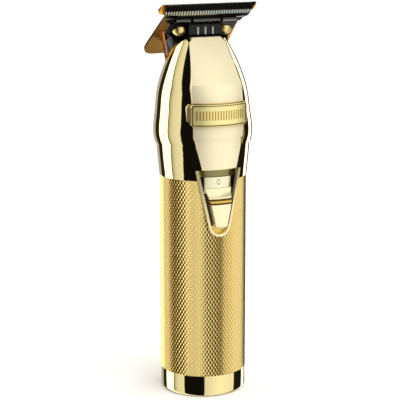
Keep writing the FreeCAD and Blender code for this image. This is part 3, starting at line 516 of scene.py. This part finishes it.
# ------------------------------------------------------------------ pieces
class CLIPPER_OT_grip(bpy.types.Operator):
    """Roll the diamond knurl on the grip tube and cut the switch's V out of it"""
    bl_idname = "clipper.grip"
    bl_label = "Knurled grip"

    def execute(self, context):
        sizes = context.scene.clipper_sizes
        low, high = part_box("knurled_barrel")
        peak_r = high.x
        root_r = peak_r - sizes.knurl_depth
        grip = self.tube(sizes, root_r, low.z, high.z)
        self.roll(grip, sizes, peak_r / root_r, low.z, high.z)
        self.line(grip, root_r, low.z)
        take_away(grip, self.vee(sizes))
        place(grip, "Knurled_grip", "knurled_gold", BODY_OF["knurled_barrel"], "knurled_barrel")
        return {"FINISHED"}

    def tube(self, sizes, root_r, foot, top):
        """An open tube at the bottom of the grooves, with a ring of vertices at each half diamond."""
        bpy.ops.object.select_all(action="DESELECT")
        bpy.ops.mesh.primitive_cylinder_add(vertices=2 * sizes.knurl_columns, radius=root_r, depth=top - foot,
                                            end_fill_type="NOTHING", location=(0, 0, (foot + top) / 2))
        grip = bpy.context.active_object
        bpy.ops.object.transform_apply(location=True)
        choose(grip, lambda co: False)
        for edge in grip.data.edges:
            a, b = (grip.data.vertices[i].co for i in edge.vertices)
            edge.select = abs(a.z - b.z) > (top - foot) / 2
        edit(grip, "EDGE")
        bpy.ops.mesh.subdivide(number_cuts=2 * sizes.knurl_rows - 1)
        leave()
        return grip

    def roll(self, grip, sizes, lift, foot, top):
        """Raise every other vertex into a diamond's tip and flatten the tips."""
        half_row = (top - foot) / (2 * sizes.knurl_rows)

        def is_peak(co):
            column = round(math.atan2(co.x, co.y) / (2 * math.pi) * 2 * sizes.knurl_columns)
            row = round((co.z - foot) / half_row)
            return (column + row) % 2 == 0

        choose(grip, is_peak)
        edit(grip)
        bpy.ops.transform.resize(value=(lift, lift, 1), center_override=(0, 0, foot))
        bpy.ops.mesh.select_all(action="SELECT")
        bpy.ops.mesh.quads_convert_to_tris(quad_method="SHORTEST_DIAGONAL")
        leave()
        choose(grip, lambda co: is_peak(co) and foot + half_row / 2 < co.z < top - half_row / 2)
        edit(grip)
        bpy.ops.mesh.bevel(offset=sizes.knurl_flat, affect="VERTICES")
        leave()

    def line(self, grip, root_r, foot):
        """Close the tube with an inner wall."""
        wall = 1.1 * MM
        lift = (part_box("base_ring")[1].x - wall) / root_r
        edit(grip)
        bpy.ops.mesh.select_all(action="DESELECT")
        bpy.ops.mesh.select_non_manifold()
        bpy.ops.mesh.extrude_edges_move()
        bpy.ops.transform.resize(value=(lift, lift, 1), center_override=(0, 0, foot))
        bpy.ops.mesh.bridge_edge_loops()
        bpy.ops.mesh.select_all(action="SELECT")
        bpy.ops.mesh.normals_make_consistent(inside=False)
        leave()

    def vee(self, sizes):
        """The prism inside the bezel's outline: a circle with its upper half drawn out to two corners."""
        low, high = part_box("switch_bezel")
        gap = 0.05 * MM
        front, depth = -30 * MM, 24 * MM
        r = sizes.vee_round + gap
        centre = low.z + sizes.vee_round
        bpy.ops.mesh.primitive_circle_add(vertices=96, radius=r, fill_type="NGON",
                                          rotation=(math.pi / 2, 0, 0), location=(0, 0, centre))
        tool = bpy.context.active_object
        bpy.ops.object.transform_apply(location=True, rotation=True)
        slope = 0.0
        for _ in range(40):
            slope = math.atan((sizes.vee_top_half + gap - r / math.cos(slope)) / (high.z - centre))
        touch = centre - r * math.sin(slope)
        for vertex in tool.data.vertices:
            if vertex.co.z > touch + MERGE / 2:
                side = 1 if vertex.co.x >= 0 else -1
                vertex.co.x = side * (sizes.vee_top_half + gap)
                vertex.co.z = high.z
            vertex.co.y = front
        edit(tool)
        bpy.ops.mesh.select_all(action="SELECT")
        bpy.ops.mesh.remove_doubles(threshold=MERGE / 2)
        bpy.ops.mesh.extrude_region_move(TRANSFORM_OT_translate={"value": (0, depth, 0)})
        bpy.ops.mesh.select_all(action="SELECT")
        bpy.ops.mesh.normals_make_consistent(inside=False)
        leave()
        return tool


class CLIPPER_OT_housing(bpy.types.Operator):
    """Finish the polished upper housing and the foot ring"""
    bl_idname = "clipper.housing"
    bl_label = "Polished housing"

    def execute(self, context):
        finish_copies({"upper_housing": "Polished_upper_housing"}, 28.0)
        ring = turned(self.outline(context.scene.clipper_sizes))
        lone(ring)
        bpy.ops.object.shade_smooth_by_angle(angle=math.radians(30))
        place(ring, "Foot_ring", "polished_gold", BODY_OF["base_ring"], "base_ring")
        return {"FINISHED"}

    def outline(self, sizes):
        """Half the foot ring's section: rounded lower edge, band, spigot into the grip, bore, inner flange."""
        low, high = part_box("base_ring")
        r, edge, top = high.x, sizes.ring_edge, sizes.ring_height
        turns = [math.pi / 2 * step / 8 for step in range(9)]
        rounded = [(r - edge + edge * math.sin(t), low.z + edge - edge * math.cos(t)) for t in turns]
        chamfer = 0.15 * MM
        spigot_in, bore_in, flange_in = 1.45 * MM, 1.9 * MM, 3.1 * MM
        flange_top = 2.0 * MM
        return rounded + [(r, low.z + 5 * MM), (r, top - chamfer), (r - chamfer, top), (r - spigot_in, top),
                          (r - spigot_in, high.z), (r - 1.85 * MM, high.z), (r - bore_in, flange_top),
                          (r - flange_in, flange_top), (r - flange_in, low.z)]


class CLIPPER_OT_switch(bpy.types.Operator):
    """Finish the V bezel, the floor with its mark and the slider"""
    bl_idname = "clipper.switch"
    bl_label = "Slide switch"

    def execute(self, context):
        finish_copies({"switch_bezel": "Switch_bezel", "switch_floor": "Switch_floor",
                       "switch_slider": "Switch_slider"})
        return {"FINISHED"}


class CLIPPER_OT_spine(bpy.types.Operator):
    """Finish the satin spine and the badge with its backing"""
    bl_idname = "clipper.spine"
    bl_label = "Spine and badge"

    def execute(self, context):
        finish_copies({"spine_panel": "Satin_spine"}, 9.0)
        finish_copies({"badge_backing": "Badge_backing", "badge_plate": "Badge_plate"})
        return {"FINISHED"}


class CLIPPER_OT_head(bpy.types.Operator):
    """Finish the blades, their plate and screws, the carrier and the neck"""
    bl_idname = "clipper.head"
    bl_label = "Blade head"

    def execute(self, context):
        finish_copies({"fixed_blade": "Fixed_blade", "cutter_blade": "Cutter", "screw_plate": "Screw_plate",
                       "blade_screws": "Blade_screws", "blade_carrier": "Blade_carrier",
                       "neck_bracket": "Neck"})
        return {"FINISHED"}


class CLIPPER_OT_inside(bpy.types.Operator):
    """Give every CAD node that still shows its own finish"""
    bl_idname = "clipper.inside"
    bl_label = "Inner parts"

    def execute(self, context):
        for node, obj in NODES.items():
            if obj.hide_render:
                continue
            obj.data.materials.clear()
            obj.data.materials.append(finish(SLOT_OF[node]))
        return {"FINISHED"}


# ------------------------------------------------------------------ studio
# brightness of the studio wall by compass angle in degrees, from behind, by the left, the front and the right:
# bright panels are above 1, black flags near 0
WALL = [(-180, 0.5), (-170, 0.5), (-164, 0.5), (-163, 0.02), (-143, 0.02), (-142, 2.4), (-112, 2.4), (-111, 0.12),
        (-109, 0.12), (-107.5, 0.5), (-97, 0.85), (-76, 0.98), (-75, 0.006), (-18.5, 0.006), (-17.5, 0.85),
        (25, 1.15), (72, 1.0), (73, 0.012), (111, 0.012), (112, 2.4), (130, 2.4), (131, 0.03), (156, 0.03),
        (158, 0.5), (180, 0.5)]
PANEL_LEAN = 20 / 360                    # turn of the panels' tops to one side
LEAN_FROM, LEAN_TO = 0.25, 0.75          # upward part of a direction where the panels start and stop leaning
CEILING = (0.42, 0.38, 0.27, 1)
CEILING_FROM, CEILING_TO = math.radians(60), math.radians(80)
CAMERA_AT = (-0.2398, -0.5685, 0.217)
CAMERA_TURN = (math.radians(77.62), 0, math.radians(-22.87))
LAMP_TURN = (math.radians(18), math.radians(12), 0)


class CLIPPER_OT_stage(bpy.types.Operator):
    """Set the pale floor, the soft studio light and the camera"""
    bl_idname = "clipper.stage"
    bl_label = "Studio"

    def execute(self, context):
        bpy.ops.object.select_all(action="DESELECT")
        bpy.ops.mesh.primitive_plane_add(size=6.0, location=(0, 0, 0))
        floor = bpy.context.active_object
        floor.name = "Studio_floor"
        floor.visible_glossy = False
        floor.data.materials.append(coated("Matt studio floor", colours().floor, 0.0, 0.9, 0.2, spread=0.01))
        self.walls(context.scene)
        bpy.ops.object.light_add(type="SUN", location=(0, 0, 1), rotation=LAMP_TURN)
        lamp = bpy.context.active_object
        lamp.name = "Overhead_scrim"
        lamp.data.energy = 2.4
        lamp.data.angle = math.radians(80)
        lamp.visible_glossy = False
        bpy.ops.object.camera_add(location=CAMERA_AT, rotation=CAMERA_TURN)
        camera = bpy.context.active_object
        camera.data.lens = 134.1
        camera.data.shift_x = -0.007
        context.scene.camera = camera
        context.scene.view_settings.view_transform = "Standard"
        return {"FINISHED"}

    def walls(self, scene):
        """Tall soft panels and black flags all round under a warm dim ceiling, and plain white to the camera."""
        world = bpy.data.worlds.new("Studio")
        scene.world = world
        world.use_nodes = True
        tree = world.node_tree
        tree.nodes.clear()
        way = add(tree, "ShaderNodeTexCoord").outputs["Generated"]
        x, y, z = add(tree, "ShaderNodeSeparateXYZ", [(way, 0)]).outputs
        front = add(tree, "ShaderNodeMath", [(y, 0), (-1.0, 1)], operation="MULTIPLY").outputs[0]
        angle = add(tree, "ShaderNodeMath", [(x, 0), (front, 1)], operation="ARCTAN2").outputs[0]
        turn = add(tree, "ShaderNodeMapRange", [(angle, 0), (-math.pi, "From Min"), (math.pi, "From Max")])
        lean = add(tree, "ShaderNodeMapRange", [(z, 0), (LEAN_FROM, "From Min"), (LEAN_TO, "From Max"),
                                                (PANEL_LEAN, "To Max")])
        compass = add(tree, "ShaderNodeMath", [(turn.outputs[0], 0), (lean.outputs[0], 1)], operation="ADD")
        wall = add(tree, "ShaderNodeValToRGB", [(compass.outputs[0], 0)])
        points = wall.color_ramp.elements
        while len(points) < len(WALL):
            points.new(0.5)
        for point, (bearing, value) in zip(points, WALL):
            point.position = (bearing + 180) / 360
            point.color = (value, value, value, 1)
        above = add(tree, "ShaderNodeMapRange", [(z, 0), (math.sin(CEILING_FROM), "From Min"),
                                                 (math.sin(CEILING_TO), "From Max")])
        room = add(tree, "ShaderNodeMix", [(above.outputs[0], 0), (wall.outputs[0], 6), (CEILING, 7)],
                   data_type="RGBA")
        seen = add(tree, "ShaderNodeLightPath").outputs["Is Camera Ray"]
        plain = add(tree, "ShaderNodeMix", [(seen, 0), (room.outputs[2], 6), ((1, 1, 1, 1), 7)], data_type="RGBA")
        light = add(tree, "ShaderNodeBackground", [(plain.outputs[2], 0)])
        add(tree, "ShaderNodeOutputWorld", [(light.outputs[0], 0)])


class CLIPPER_PT_panel(bpy.types.Panel):
    """Sizes, colours and steps of the clipper"""
    bl_idname = "CLIPPER_PT_panel"
    bl_label = "Hair Clipper"
    bl_space_type = "VIEW_3D"
    bl_region_type = "UI"
    bl_category = "Hair Clipper"

    def draw(self, context):
        for group in (context.scene.clipper_sizes, context.scene.clipper_colours):
            for name in group.bl_rna.properties.keys():
                if name not in {"rna_type", "name"}:
                    self.layout.prop(group, name)
        for step in STEPS:
            self.layout.operator(step.bl_idname)


STEPS = (CLIPPER_OT_grip, CLIPPER_OT_housing, CLIPPER_OT_switch, CLIPPER_OT_spine, CLIPPER_OT_head,
         CLIPPER_OT_inside, CLIPPER_OT_stage)
CLASSES = (ClipperSizes, ClipperColours) + STEPS + (CLIPPER_PT_panel,)


def register():
    for cls in CLASSES:
        bpy.utils.register_class(cls)
    bpy.types.Scene.clipper_sizes = PointerProperty(type=ClipperSizes)
    bpy.types.Scene.clipper_colours = PointerProperty(type=ClipperColours)


def unregister():
    del bpy.types.Scene.clipper_colours
    del bpy.types.Scene.clipper_sizes
    for cls in reversed(CLASSES):
        bpy.utils.unregister_class(cls)


def main():
    register()
    bpy.ops.clipper.grip()
    bpy.ops.clipper.housing()
    bpy.ops.clipper.switch()
    bpy.ops.clipper.spine()
    bpy.ops.clipper.head()
    bpy.ops.clipper.inside()
    bpy.ops.clipper.stage()


if __name__ == "__main__":
    main()
